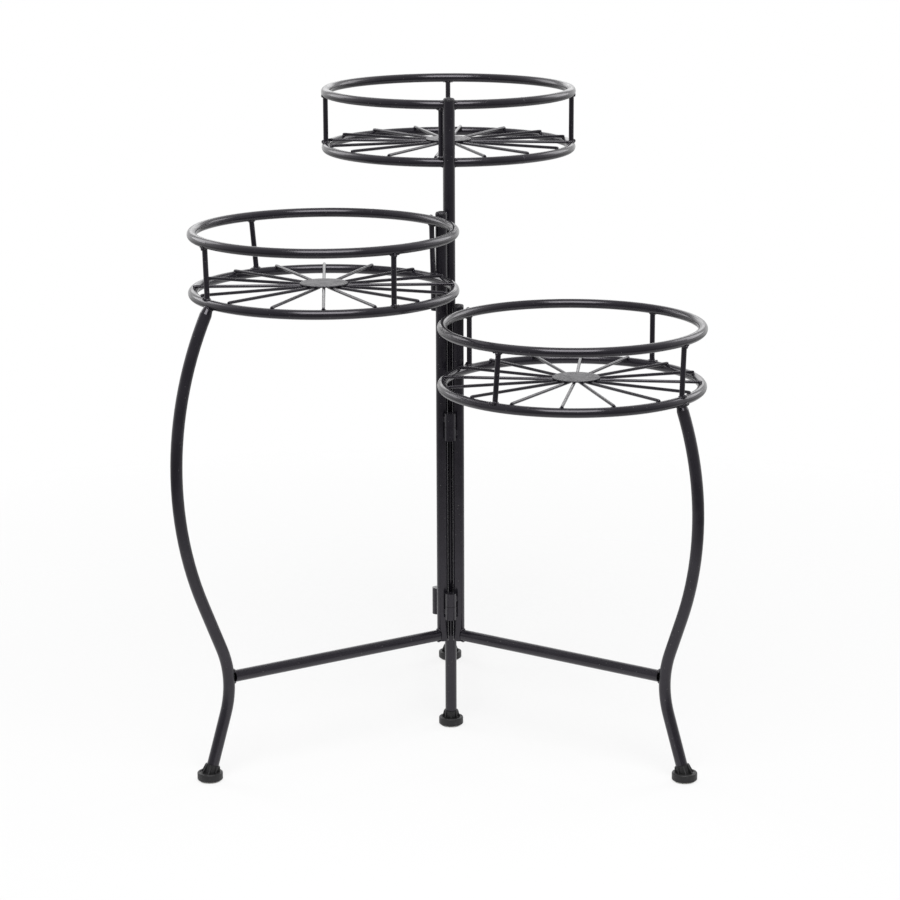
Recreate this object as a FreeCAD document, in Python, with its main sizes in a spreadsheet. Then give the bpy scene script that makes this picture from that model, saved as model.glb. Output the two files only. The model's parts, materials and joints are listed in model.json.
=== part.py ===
import FreeCAD, Part
import math
import os
import Sketcher

# A folding plant stand of three sections. Each section is one post that carries a round wire
# basket near its top, with a bowed leg under the far side of the basket and a straight brace
# between the post and the leg. The three posts stand in a small triangle and are joined by
# barrel hinges, so that the sections fold flat against each other.
#
# Millimetres and degrees. The origin is on the floor under the tall post, +Z is up, and +Y
# points from the tall post to its own basket. Every section is drawn in its own frame: its
# post axis is the Z axis and its basket lies along +X.

Vec = FreeCAD.Vector
UP = Vec(0, 0, 1)
OUTWARD = Vec(1, 0, 0)
SIDEWAYS = Vec(0, 1, 0)

SIZES = {
    # Where the posts stand and the way each basket points, seen from above.
    "post_spacing": 16.7,
    "tall_direction": 90.0,
    "mid_direction": 213.9,
    "low_direction": 323.6,
    # Round tube and the gap that a weld fills between two welded pieces.
    "post_diameter": 12.0,
    "leg_diameter": 12.0,
    "brace_diameter": 12.0,
    "tube_wall": 1.0,
    "ring_tube": 9.5,
    "ring_wall": 1.0,
    "weld_gap": 0.05,
    # Baskets: two rings each, heights of the upper ring's centreline.
    "ring_radius": 130.0,
    "basket_depth": 58.9,
    "tall_ring_height": 657.2,
    "mid_ring_height": 543.7,
    "low_ring_height": 448.0,
    # Upright wires between the two rings: one beside the leg, one beside the post and one on
    # the left and on the right of the line between them, all a little outside the rings'
    # centreline. The skew turns a wire around the basket from its even quarter, and the lean
    # tilts it along the ring.
    "upright_diameter": 5.3,
    "upright_out": 0.3,
    "tall_leg_side_skew": 0.0,
    "tall_left_side_skew": 0.0,
    "tall_post_side_skew": -3.6,
    "tall_right_side_skew": 0.0,
    "mid_leg_side_skew": -2.8,
    "mid_left_side_skew": -0.7,
    "mid_post_side_skew": 0.3,
    "mid_right_side_skew": 1.5,
    "low_leg_side_skew": -0.3,
    "low_left_side_skew": -5.5,
    "low_post_side_skew": -2.3,
    "low_right_side_skew": 0.0,
    "mid_leg_side_lean": -3.5,
    "mid_post_side_lean": 2.6,
    "mid_right_side_lean": 5.5,
    "low_leg_side_lean": 3.5,
    "low_right_side_lean": 4.5,
    # Spokes on the lower ring and the disc that covers their inner ends. The skew turns the
    # spokes around the basket, and the hub may lie a little off the middle of the ring.
    "tall_spoke_skew": 5.2,
    "mid_spoke_skew": 1.8,
    "low_spoke_skew": -4.2,
    "low_hub_along": 3.3,
    "low_hub_across": 2.4,
    "spoke_diameter": 3.2,
    "spoke_lift": 5.5,
    "spoke_inner_radius": 12.0,
    "spoke_end_inset": 1.5,
    "spoke_count": 16,
    "disc_diameter": 48.0,
    "disc_thickness": 1.3,
    "disc_edge_radius": 0.4,
    # Posts and their caps.
    "post_above_ring": 0.5,
    "cap_dome": 3.5,
    "cap_stem": 8.0,
    "cap_clearance": 0.05,
    # Braces.
    "brace_height": 104.2,
    # Legs: how far the bulge stands out past the ring's centreline and the waist goes in from
    # it, how far the foot splays out from the waist, and how far inside the ring's outer edge
    # the top end is welded.
    "tall_bulge_out": 47.2,
    "tall_bulge_height": 420.0,
    "tall_waist_in": 54.8,
    "tall_foot_splay": 20.0,
    "tall_leg_top_inset": 3.25,
    "mid_bulge_out": 41.7,
    "mid_bulge_height": 318.0,
    "mid_waist_in": 12.1,
    "mid_foot_splay": 24.05,
    "mid_leg_top_inset": 2.95,
    "low_bulge_out": 19.8,
    "low_bulge_height": 270.0,
    "low_waist_in": 16.1,
    "low_foot_splay": 24.7,
    "low_leg_top_inset": 7.05,
    "waist_height": 97.0,
    "waist_radius": 100.0,
    "leg_top_drop": 3.3,
    "crimp_diameter": 9.0,
    "crimp_length": 7.0,
    # Moulded feet and the glides under them.
    "foot_diameter": 25.6,
    "foot_top": 9.5,
    "foot_edge_radius": 1.3,
    "foot_lip_width": 1.4,
    "foot_dish_depth": 0.4,
    "tube_seat_height": 5.0,
    "sleeve_wall": 1.1,
    "sleeve_top": 11.5,
    "sleeve_clearance": 0.05,
    "foot_rib_count": 8,
    "foot_rib_reach": 10.4,
    "foot_rib_thickness": 1.2,
    "foot_rib_top_width": 0.4,
    "glide_diameter": 21.0,
    "glide_thickness": 1.5,
    "glide_edge_radius": 0.4,
    # Barrel hinges.
    "knuckle_diameter": 11.3,
    "knuckle_height": 14.0,
    "hinge_seam": 0.3,
    "hinge_web": 2.05,
    "hinge_web_width": 5.0,
    "hinge_web_height": 5.6,
    "pin_diameter": 6.0,
    "pin_clearance": 0.05,
    "pin_edge_radius": 0.4,
    "pin_bore_depth": 12.0,
    "lower_hinge_above_brace": 33.8,
    "rear_upper_hinge_below_ring": 22.8,
    "front_upper_hinge_below_ring": 59.1,
}

SECTIONS = ("tall", "mid", "low")
# The uprights of a basket, a quarter turn apart, seen from above.
UPRIGHTS = ("leg_side", "left_side", "post_side", "right_side")
# Each hinge line joins two neighbouring sections: name, section on each side.
HINGE_LINES = (("rear", "tall", "mid"), ("front", "mid", "low"))
# The lower arc of a bulge and the waist arc together keep this share of the longest pair of
# arcs that fits, so that a short straight always lies between them.
LONGEST_ARC_SHARE = 0.97
# Cutters run this far past the piece that they cut.
CUT_OVERRUN = 2.0
# A ring cutter is turned by this much, so that no wire crosses its seam.
CUTTER_TURN = 45.0

doc = FreeCAD.newDocument("tiered_plant_stand")
sheet = doc.addObject("Spreadsheet::Sheet", "Sizes")
for row, (name, value) in enumerate(SIZES.items(), start=1):
    sheet.set(f"A{row}", name)
    sheet.set(f"B{row}", str(value))
    sheet.setAlias(f"B{row}", name)
doc.recompute()

# The finished sub-parts, by node name.
nodes = {}


# ---------------------------------------------------------------- helpers

def size(name):
    """A driving dimension as a number."""
    return float(sheet.get(name))


def optional_size(name):
    """A driving dimension that only some sections have, and zero for the others."""
    return size(name) if name in SIZES else 0.0


def keep(item, label, placement):
    """Name a finished sub-part, put it in its place and keep it for writing."""
    item.Label = label
    item.Placement = placement
    nodes[label] = item
    return item


def shift(x=0.0, y=0.0, z=0.0, turn=None):
    """A placement at x, y, z with an optional rotation."""
    return FreeCAD.Placement(Vec(x, y, z), turn or FreeCAD.Rotation())


def primitive(kind, label, placement=None, **formulas):
    """A Part primitive whose sizes are bound to formulas of the spreadsheet."""
    item = doc.addObject(kind, label)
    for prop, formula in formulas.items():
        item.setExpression(prop, formula)
    item.Placement = placement or shift()
    return item


def fuse(label, pieces):
    """One solid from several overlapping ones."""
    item = doc.addObject("Part::MultiFuse", label)
    item.Shapes = pieces
    return item


def cut(label, base, tool):
    """A solid with another one taken away."""
    item = doc.addObject("Part::Cut", label)
    item.Base = base
    item.Tool = tool
    return item


def sketch_on(body, role, name, offset):
    """A sketch on one of the body's own origin planes, moved by an offset."""
    plane = next(face for face in body.Origin.OriginFeatures if face.Role == role)
    sketch = body.newObject("Sketcher::SketchObject", name)
    sketch.AttachmentSupport = [(plane, "")]
    sketch.MapMode = "FlatFace"
    sketch.AttachmentOffset = offset
    return sketch


def bound_circle(sketch, formula):
    """A circle round the sketch's origin with its diameter bound to a formula."""
    circle = sketch.addGeometry(Part.Circle(Vec(), UP, 1.0), False)
    sketch.addConstraint(Sketcher.Constraint("Coincident", circle, 3, -1, 1))
    diameter = sketch.addConstraint(Sketcher.Constraint("Diameter", circle, 2.0))
    sketch.setExpression(f"Constraints[{diameter}]", formula)


def padded(label, role, offset, diameters, length):
    """A body with a round bar or tube: one or two bound circles, padded by a bound length."""
    body = doc.addObject("PartDesign::Body", label)
    profile = sketch_on(body, role, label + "_profile", offset)
    for formula in diameters:
        bound_circle(profile, formula)
    pad = body.newObject("PartDesign::Pad", label + "_pad")
    pad.Profile = profile
    pad.setExpression("Length", length)
    return body, pad


def rounded_bar(label, place, diameter, bottom, length, edge_radius):
    """A short upright bar or a disc with both of its rims rounded."""
    body, pad = padded(label, "XY_Plane", shift(z=bottom), [diameter], length)
    doc.recompute()
    rims = [f"Edge{n}" for n, edge in enumerate(pad.Shape.Edges, start=1) if edge.Closed]
    fillet = body.newObject("PartDesign::Fillet", label + "_rims")
    fillet.Base = (pad, rims)
    fillet.setExpression("Radius", edge_radius)
    return keep(body, label, place)


# ---------------------------------------------------------------- layout

def post_position(section):
    """Centre of a post on the floor: the corners of a triangle with equal sides."""
    side = size("post_spacing")
    depth = side * math.sqrt(3) / 2
    return {"tall": Vec(), "mid": Vec(-side / 2, -depth, 0), "low": Vec(side / 2, -depth, 0)}[section]


def section_frame(section, x=0.0, z=0.0, turn=None):
    """A place in a section's own frame, x along its basket and z up, as a placement."""
    facing = FreeCAD.Rotation(UP, size(f"{section}_direction"))
    return FreeCAD.Placement(post_position(section), facing).multiply(shift(x=x, z=z, turn=turn))


def hinge_offset():
    """Distance from a post's axis to its hinge axis."""
    return size("post_diameter") / 2 + size("knuckle_diameter") / 2 + size("hinge_web")


def hinge_axis(first, second):
    """Hinge axis on the floor, outside the triangle, equally far from both of its posts."""
    here = post_position(first)
    there = post_position(second)
    middle = (here + there) / 2
    centre = sum((post_position(section) for section in SECTIONS), Vec()) / 3
    outward = (middle - centre).normalize()
    return middle + outward * math.sqrt(hinge_offset() ** 2 - (size("post_spacing") / 2) ** 2)


def ring_centre():
    """Distance from a post's axis to the centre of its basket."""
    return (size("ring_radius") + size("ring_tube") / 2 + size("weld_gap")
            + size("post_diameter") / 2)


def rim_reach():
    """Distance from a post's axis to the far side of its rings, on their centreline."""
    return ring_centre() + size("ring_radius")


def waist_reach(section):
    """Distance from a post's axis to the innermost point of its leg's centreline."""
    return rim_reach() - size(f"{section}_waist_in")


def foot_reach(section):
    """Distance from a post's axis to the middle of its leg's foot."""
    return waist_reach(section) + size(f"{section}_foot_splay")


def lower_ring_height(section):
    """Height of the lower ring's centreline."""
    return size(f"{section}_ring_height") - size("basket_depth")


# ---------------------------------------------------------------- baskets

def ring(label, section, height):
    """A closed ring of round tube, welded to the post at one point."""
    outside = primitive("Part::Torus", label + "_outside",
                        Radius1="Sizes.ring_radius", Radius2="Sizes.ring_tube / 2")
    inside = primitive("Part::Torus", label + "_inside",
                       Radius1="Sizes.ring_radius", Radius2="Sizes.ring_tube / 2 - Sizes.ring_wall")
    keep(cut(label, outside, inside), label, section_frame(section, x=ring_centre(), z=height))


def ring_cutter(height):
    """The space that a ring takes with its weld gap, for trimming what is welded to it."""
    radius = size("ring_tube") / 2 + size("weld_gap")
    return Part.makeTorus(size("ring_radius"), radius, Vec(0, 0, height), UP)


def basket_uprights(section):
    """Straight upright wires between the rings, each welded to both."""
    label = f"{section}_basket_uprights"
    lower = lower_ring_height(section)
    upper = size(f"{section}_ring_height")
    lower_end = OUTWARD * (size("ring_radius") + size("upright_out")) + UP * lower
    blank = Part.makeCylinder(size("upright_diameter") / 2, upper - lower, lower_end, UP)
    middle = lower_end + UP * ((upper - lower) / 2)
    rings = [ring_cutter(height).rotated(Vec(), UP, CUTTER_TURN) for height in (lower, upper)]
    wires = []
    for n, upright in enumerate(UPRIGHTS):
        lean = optional_size(f"{section}_{upright}_lean")
        turn = 360.0 * n / len(UPRIGHTS) + size(f"{section}_{upright}_skew")
        between = blank.rotated(middle, OUTWARD, -lean).cut(rings)
        wires.append(between.Solids[0].rotated(Vec(), UP, turn))
    group = doc.addObject("Part::Feature", label)
    group.Shape = Part.makeCompound(wires)
    keep(group, label, section_frame(section, x=ring_centre()))


def hub_shift(section):
    """From the middle of the lower ring to the middle of the disc, in the basket's frame."""
    return Vec(optional_size(f"{section}_hub_along"), optional_size(f"{section}_hub_across"), 0)


def spoke_wires(section):
    """Spokes from the hub to evenly spaced points of the lower ring, clear of the uprights."""
    label = f"{section}_spoke_wires"
    height = lower_ring_height(section) + size("spoke_lift")
    seat = ring_cutter(lower_ring_height(section))
    hub = hub_shift(section) + UP * height
    reach = size("ring_radius") - size("spoke_end_inset")
    count = int(size("spoke_count"))
    wires = []
    for n in range(count):
        turn = FreeCAD.Rotation(UP, 360.0 / count * (n + 0.5) + size(f"{section}_spoke_skew"))
        tip = turn.multVec(OUTWARD) * reach + UP * height
        inner_end = hub + (tip - hub).normalize() * size("spoke_inner_radius")
        run = tip - inner_end
        bar = Part.makeCylinder(size("spoke_diameter") / 2, run.Length, inner_end, run)
        wires.append(bar.cut(seat).Solids[0])
    group = doc.addObject("Part::Feature", label)
    group.Shape = Part.makeCompound(wires)
    keep(group, label, section_frame(section, x=ring_centre()))


def centre_disc(section):
    """A thin disc welded on the spokes, where the pot stands."""
    bottom = (lower_ring_height(section) + size("spoke_lift") + size("spoke_diameter") / 2
              + size("weld_gap"))
    middle = shift(x=hub_shift(section).x, y=hub_shift(section).y)
    rounded_bar(f"{section}_centre_disc", section_frame(section, x=ring_centre()).multiply(middle),
                "Sizes.disc_diameter", bottom, "Sizes.disc_thickness", "Sizes.disc_edge_radius")


# ---------------------------------------------------------------- posts and braces

def post(section, bottom):
    """A straight tube from its lower end to just above the upper ring."""
    label = f"{section}_post"
    body, _ = padded(label, "XY_Plane", shift(z=bottom),
                     ["Sizes.post_diameter", "Sizes.post_diameter - 2 * Sizes.tube_wall"],
                     f"Sizes.{section}_ring_height + Sizes.ring_tube / 2 + Sizes.post_above_ring"
                     f" - {bottom}")
    keep(body, label, section_frame(section))


def post_cap(section):
    """A low domed cap on the rim of the post with a stem inside the tube."""
    label = f"{section}_post_cap"
    rim = (size(f"{section}_ring_height") + size("ring_tube") / 2 + size("post_above_ring"))
    dome = primitive("Part::Ellipsoid", label + "_dome", Radius1="Sizes.cap_dome",
                     Radius2="Sizes.post_diameter / 2", Radius3="Sizes.post_diameter / 2")
    dome.Angle1 = 0
    stem = primitive("Part::Cylinder", label + "_stem",
                     shift(z=-size("cap_stem")),
                     Radius="Sizes.post_diameter / 2 - Sizes.tube_wall - Sizes.cap_clearance",
                     Height="Sizes.cap_stem")
    keep(fuse(label, [dome, stem]), label, section_frame(section, z=rim))


def brace(section):
    """A level tube, cut square at both ends, between the post and the waist of the leg."""
    label = f"{section}_brace"
    start = size("post_diameter") / 2 + size("weld_gap")
    body, _ = padded(label, "YZ_Plane", shift(y=size("brace_height"), z=start),
                     ["Sizes.brace_diameter", "Sizes.brace_diameter - 2 * Sizes.tube_wall"],
                     f"{waist_reach(section)} - Sizes.leg_diameter / 2 - Sizes.weld_gap - {start}")
    keep(body, label, section_frame(section))


# ---------------------------------------------------------------- legs

class LegLine:
    """Centreline of a bowed leg in its section's plane: x is the reach, y the height.

    From the foot it runs straight to the waist arc, straight again to the bulge, over the
    bulge in one or two arcs that share their outermost point, and straight into the crimp.
    """

    def __init__(self, section):
        self.foot = Vec(foot_reach(section), size("tube_seat_height"), 0)
        bulge = Vec(rim_reach() + size(f"{section}_bulge_out"), size(f"{section}_bulge_height"), 0)
        waist = Vec(waist_reach(section), size("waist_height"), 0)
        top = Vec(rim_reach() + size("ring_tube") / 2 - size(f"{section}_leg_top_inset"),
                  lower_ring_height(section) - size("leg_top_drop"), 0)
        rise = top - bulge
        crimp = size("crimp_length")
        self.upper_radius = (rise.dot(rise) - crimp ** 2) / (-2 * rise.x)
        self.upper_centre = bulge - Vec(self.upper_radius, 0, 0)
        to_top = top - self.upper_centre
        self.upper_angle = math.atan2(to_top.y, to_top.x) - math.atan(crimp / self.upper_radius)
        drop = bulge - waist
        longest = LONGEST_ARC_SHARE * drop.dot(drop) / (2 * drop.x)
        self.waist_radius = min(size("waist_radius"), longest / 2)
        self.lower_radius = min(self.upper_radius, longest - self.waist_radius)
        both = self.lower_radius + self.waist_radius
        across = math.hypot(both - drop.x, drop.y)
        self.slope = math.atan2(drop.y, both - drop.x) - math.acos(both / across)
        self.lower_centre = bulge - Vec(self.lower_radius, 0, 0)
        self.waist_centre = waist + Vec(self.waist_radius, 0, 0)
        to_foot = self.foot - self.waist_centre
        swing = math.acos(self.waist_radius / to_foot.Length)
        self.lean = math.atan2(-to_foot.y, -to_foot.x) - swing

    def on_arc(self, centre, radius, angle):
        """A point of an arc, its angle counted from +x."""
        return centre + Vec(math.cos(angle), math.sin(angle), 0) * radius

    def edges(self):
        """The lines and arcs of the tube, from the foot up to the crimp."""
        waist_top = math.pi - self.slope
        waist_bottom = math.pi + self.lean
        waist_circle = Part.Circle(self.waist_centre, UP, self.waist_radius)
        lower_circle = Part.Circle(self.lower_centre, UP, self.lower_radius)
        upper_circle = Part.Circle(self.upper_centre, UP, self.upper_radius)
        return [
            Part.LineSegment(self.foot, self.on_arc(self.waist_centre, self.waist_radius, waist_bottom)),
            Part.ArcOfCircle(waist_circle, waist_top, waist_bottom),
            Part.LineSegment(self.on_arc(self.waist_centre, self.waist_radius, waist_top),
                             self.on_arc(self.lower_centre, self.lower_radius, -self.slope)),
            Part.ArcOfCircle(lower_circle, -self.slope, 0.0),
            Part.ArcOfCircle(upper_circle, 0.0, self.upper_angle),
        ]

    def crimp_start(self):
        """Where the tube starts to narrow under the ring."""
        return self.on_arc(self.upper_centre, self.upper_radius, self.upper_angle)


def leg(section):
    """A bowed tube, narrowed at its top and shaped there to the underside of the lower ring."""
    label = f"{section}_leg"
    line = LegLine(section)
    body = doc.addObject("PartDesign::Body", label)
    spine = sketch_on(body, "XZ_Plane", label + "_line", shift())
    spine.addGeometry(line.edges(), False)
    tilt = FreeCAD.Rotation(SIDEWAYS, -math.degrees(line.lean))
    profile = sketch_on(body, "XY_Plane", label + "_profile",
                        shift(x=line.foot.x, z=line.foot.y, turn=tilt))
    bound_circle(profile, "Sizes.leg_diameter")
    bound_circle(profile, "Sizes.leg_diameter - 2 * Sizes.tube_wall")
    tube = body.newObject("PartDesign::AdditivePipe", label + "_tube")
    tube.Profile = profile
    tube.Spine = (spine, [f"Edge{n}" for n in range(1, len(line.edges()) + 1)])
    start = line.crimp_start()
    crimp_place = shift(x=start.x, z=start.y,
                        turn=FreeCAD.Rotation(SIDEWAYS, -math.degrees(line.upper_angle)))
    for kind, wall in (("Additive", "0"), ("Subtractive", "Sizes.tube_wall")):
        cone = body.newObject(f"PartDesign::{kind}Cone", f"{label}_{kind}_crimp")
        cone.Placement = crimp_place
        cone.setExpression("Radius1", f"Sizes.leg_diameter / 2 - {wall}")
        cone.setExpression("Radius2", f"Sizes.crimp_diameter / 2 - {wall}")
        cone.setExpression("Height", "Sizes.crimp_length")
    saddle = body.newObject("PartDesign::SubtractiveTorus", label + "_saddle")
    saddle.Placement = shift(x=ring_centre(), z=lower_ring_height(section))
    saddle.setExpression("Radius1", "Sizes.ring_radius")
    saddle.setExpression("Radius2", "Sizes.ring_tube / 2 + Sizes.weld_gap")
    keep(body, label, section_frame(section))


# ---------------------------------------------------------------- feet

def foot(label, place, tube_diameter, lean):
    """A moulded foot: a round puck with a ribbed sleeve that leans with the tube in it."""
    radius = size(tube_diameter) / 2
    base = size("glide_thickness")
    seat = shift(z=size("tube_seat_height"), turn=FreeCAD.Rotation(SIDEWAYS, -lean))
    puck = primitive("Part::Cylinder", label + "_puck", shift(z=base),
                     Radius="Sizes.foot_diameter / 2", Height="Sizes.foot_top - Sizes.glide_thickness")
    doc.recompute()
    rims = [n for n, edge in enumerate(puck.Shape.Edges, start=1) if edge.Closed]
    rounded = doc.addObject("Part::Fillet", label + "_rounded")
    rounded.Base = puck
    rounded.Edges = [(n, size("foot_edge_radius"), size("foot_edge_radius")) for n in rims]
    dish = primitive("Part::Cylinder", label + "_dish",
                     shift(z=size("foot_top") - size("foot_dish_depth")),
                     Radius="Sizes.foot_diameter / 2 - Sizes.foot_edge_radius - Sizes.foot_lip_width",
                     Height="Sizes.foot_dish_depth + Sizes.foot_top")
    sleeve = primitive("Part::Cylinder", label + "_sleeve", seat,
                       Radius=f"Sizes.{tube_diameter} / 2 + Sizes.sleeve_clearance + Sizes.sleeve_wall",
                       Height="Sizes.sleeve_top")
    inner = radius + size("sleeve_clearance")
    rib_height = size("sleeve_top") - size("foot_rib_top_width")
    ribs = []
    for n in range(int(size("foot_rib_count"))):
        turn = FreeCAD.Rotation(UP, 360.0 * n / size("foot_rib_count"))
        upright = FreeCAD.Rotation(Vec(1, 0, 0), 90)
        half = size("foot_rib_thickness") / 2
        rib = doc.addObject("Part::Wedge", f"{label}_rib_{n}")
        rib.Xmin, rib.Xmax = inner, size("foot_rib_reach")
        rib.X2min, rib.X2max = inner, inner + size("sleeve_wall") + size("foot_rib_top_width")
        rib.Ymin, rib.Ymax = 0, rib_height
        rib.Zmin, rib.Zmax = -half, half
        rib.Z2min, rib.Z2max = -half, half
        rib.Placement = seat.multiply(shift(turn=turn)).multiply(shift(turn=upright))
        ribs.append(rib)
    socket = primitive("Part::Cylinder", label + "_socket",
                       seat.multiply(shift(z=-size("weld_gap"))),
                       Radius=f"Sizes.{tube_diameter} / 2 + Sizes.sleeve_clearance",
                       Height="Sizes.sleeve_top + Sizes.foot_top")
    dished = cut(label + "_dished", rounded, dish)
    solid = fuse(label + "_solid", [dished, sleeve] + ribs)
    keep(cut(label, solid, socket), label, place)


def glide(label, place):
    """A thin hard pad under a foot, which slides on the floor."""
    rounded_bar(label, place, "Sizes.glide_diameter", 0.0, "Sizes.glide_thickness",
                "Sizes.glide_edge_radius")


# ---------------------------------------------------------------- hinges

def knuckle(label, axis, post_axis, bottom, bore_bottom):
    """Half of a barrel hinge with the web that is welded to its post."""
    towards = post_axis - axis
    place = FreeCAD.Placement(axis + UP * bottom, FreeCAD.Rotation(Vec(1, 0, 0), towards))
    barrel = primitive("Part::Cylinder", label + "_barrel",
                       Radius="Sizes.knuckle_diameter / 2", Height="Sizes.knuckle_height")
    web = primitive("Part::Box", label + "_web",
                    shift(y=-size("hinge_web_width") / 2,
                          z=(size("knuckle_height") - size("hinge_web_height")) / 2),
                    Width="Sizes.hinge_web_width", Height="Sizes.hinge_web_height")
    web.Length = hinge_offset()
    post_space = primitive("Part::Cylinder", label + "_post_space",
                           shift(x=hinge_offset(), z=-CUT_OVERRUN),
                           Radius="Sizes.post_diameter / 2 + Sizes.weld_gap",
                           Height=f"Sizes.knuckle_height + 2 * {CUT_OVERRUN}")
    bore = primitive("Part::Cylinder", label + "_bore", shift(z=bore_bottom),
                     Radius="Sizes.pin_diameter / 2 + Sizes.pin_clearance",
                     Height="Sizes.pin_bore_depth")
    solid = cut(label + "_solid", fuse(label + "_blank", [barrel, web]), post_space)
    keep(cut(label, solid, bore), label, place)


def hinge(name, axis, top_post, bottom_post, middle_height):
    """Two knuckles, one above the other, on one pin that is closed in by both."""
    seam = size("hinge_seam")
    tall = size("knuckle_height")
    depth = size("pin_bore_depth")
    knuckle(f"{name}_top_knuckle", axis, top_post, middle_height + seam / 2, 0.0)
    knuckle(f"{name}_bottom_knuckle", axis, bottom_post, middle_height - seam / 2 - tall,
            tall - depth)
    rounded_bar(f"{name}_pin", FreeCAD.Placement(axis, FreeCAD.Rotation()), "Sizes.pin_diameter",
                middle_height - seam / 2 - depth,
                "2 * Sizes.pin_bore_depth + Sizes.hinge_seam - Sizes.pin_clearance",
                "Sizes.pin_edge_radius")


# ---------------------------------------------------------------- the stand

def build_section(section):
    """Everything that folds as one piece, without the hinges."""
    upper = size(f"{section}_ring_height")
    post_bottoms = {"tall": size("tube_seat_height")}
    brace_underside = size("brace_height") - size("brace_diameter") / 2
    post(section, post_bottoms.get(section, brace_underside))
    post_cap(section)
    ring(f"{section}_upper_ring", section, upper)
    ring(f"{section}_lower_ring", section, lower_ring_height(section))
    basket_uprights(section)
    spoke_wires(section)
    centre_disc(section)
    leg(section)
    brace(section)
    foot_place = section_frame(section, x=foot_reach(section))
    foot(f"{section}_leg_foot", foot_place, "leg_diameter", math.degrees(LegLine(section).lean))
    glide(f"{section}_leg_glide", foot_place)


def build_hinges():
    """An upper and a lower hinge on each line. The upper one hangs below the baskets of both
    sections. The lower one is upside down, so that the sections can't be lifted apart."""
    lower = size("brace_height") + size("lower_hinge_above_brace")
    for line, first, second in HINGE_LINES:
        axis = hinge_axis(first, second)
        here = post_position(first)
        there = post_position(second)
        upper = lower_ring_height(second) - size(f"{line}_upper_hinge_below_ring")
        hinge(f"{line}_upper_hinge", axis, here, there, upper)
        hinge(f"{line}_lower_hinge", axis, there, here, lower)


def check_document():
    """Stop if any object failed or any sub-part isn't a sound solid."""
    for item in doc.Objects:
        faults = [state for state in item.State if state in ("Invalid", "Error")]
        if faults:
            raise RuntimeError(f"{item.Label}: {faults}")
    for label, item in nodes.items():
        if item.Shape.isNull() or not item.Shape.isValid() or not item.Shape.Solids:
            raise RuntimeError(f"{label}: shape is not a valid solid")


def write_parts():
    """One STEP file for each sub-part, named after it."""
    os.makedirs("parts", exist_ok=True)
    for label, item in nodes.items():
        item.Shape.exportStep(f"parts/{label}.step")
        box = item.Shape.BoundBox
        print(f"{label}: {len(item.Shape.Solids)} solids, {item.Shape.Volume:.0f} mm3,"
              f" z {box.ZMin:.2f} to {box.ZMax:.2f}")


for each in SECTIONS:
    build_section(each)
foot("tall_post_foot", section_frame("tall"), "post_diameter", 0.0)
glide("tall_post_glide", section_frame("tall"))
build_hinges()
doc.recompute()
check_document()
write_parts()
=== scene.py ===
"""Looks of a folding plant stand with three round baskets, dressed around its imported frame.

The frame's own solids carry the shapes of the tubes, feet and hinges. This script gives them
their finishes, and adds what a welder and a powder coater leave on such a stand: the beads at
every joint, the closing seams of the rings and the pressed ends of the spokes. Everything is in
metres, in the frame's own place.
"""

import json
import logging
import math
from dataclasses import dataclass, field
from enum import Enum
from typing import ClassVar, Iterator, Sequence

import bpy
from mathutils import Matrix, Vector, noise

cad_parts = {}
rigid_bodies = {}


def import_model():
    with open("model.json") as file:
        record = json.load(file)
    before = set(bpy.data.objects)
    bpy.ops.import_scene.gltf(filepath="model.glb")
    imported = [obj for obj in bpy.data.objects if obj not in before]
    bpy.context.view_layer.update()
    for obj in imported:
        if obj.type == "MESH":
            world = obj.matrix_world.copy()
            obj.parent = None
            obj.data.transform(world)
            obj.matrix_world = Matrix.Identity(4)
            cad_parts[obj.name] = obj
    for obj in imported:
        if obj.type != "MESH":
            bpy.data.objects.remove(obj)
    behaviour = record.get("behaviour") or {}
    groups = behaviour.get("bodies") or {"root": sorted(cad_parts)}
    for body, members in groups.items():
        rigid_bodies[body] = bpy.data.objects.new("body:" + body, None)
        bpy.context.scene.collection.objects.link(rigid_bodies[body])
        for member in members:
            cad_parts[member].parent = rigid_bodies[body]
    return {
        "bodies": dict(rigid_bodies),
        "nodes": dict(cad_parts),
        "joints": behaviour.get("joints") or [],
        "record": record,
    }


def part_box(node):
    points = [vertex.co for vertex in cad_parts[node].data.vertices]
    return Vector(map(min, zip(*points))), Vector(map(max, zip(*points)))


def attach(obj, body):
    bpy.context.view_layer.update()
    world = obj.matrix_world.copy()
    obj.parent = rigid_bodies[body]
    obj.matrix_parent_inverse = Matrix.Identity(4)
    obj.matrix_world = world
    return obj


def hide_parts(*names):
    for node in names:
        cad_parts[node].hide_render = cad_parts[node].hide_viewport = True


LOG = logging.getLogger("plant_stand")
MM = 0.001
UP = Vector((0.0, 0.0, 1.0))
Colour = tuple[float, float, float]
Levels = tuple[float, float]

# Most of a noise lies between these levels, so a look that follows it is stretched over them.
NOISE_LEVELS: Levels = (0.3, 0.7)


class Section(Enum):
    """The three sections that fold against each other."""

    TALL = "tall"
    MID = "mid"
    LOW = "low"

    @property
    def body(self) -> str:
        """Name of the body that this section's pieces ride on."""
        return f"{self.value}_section"


class Slot(Enum):
    """The record's material slots."""

    STEEL = "powder_coated_steel"
    CAP = "cap_plastic"
    FOOT = "foot_plastic"
    GLIDE = "glide_plastic"
    PIN = "pin_steel"


# ---------------------------------------------------------------- finishes


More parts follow.
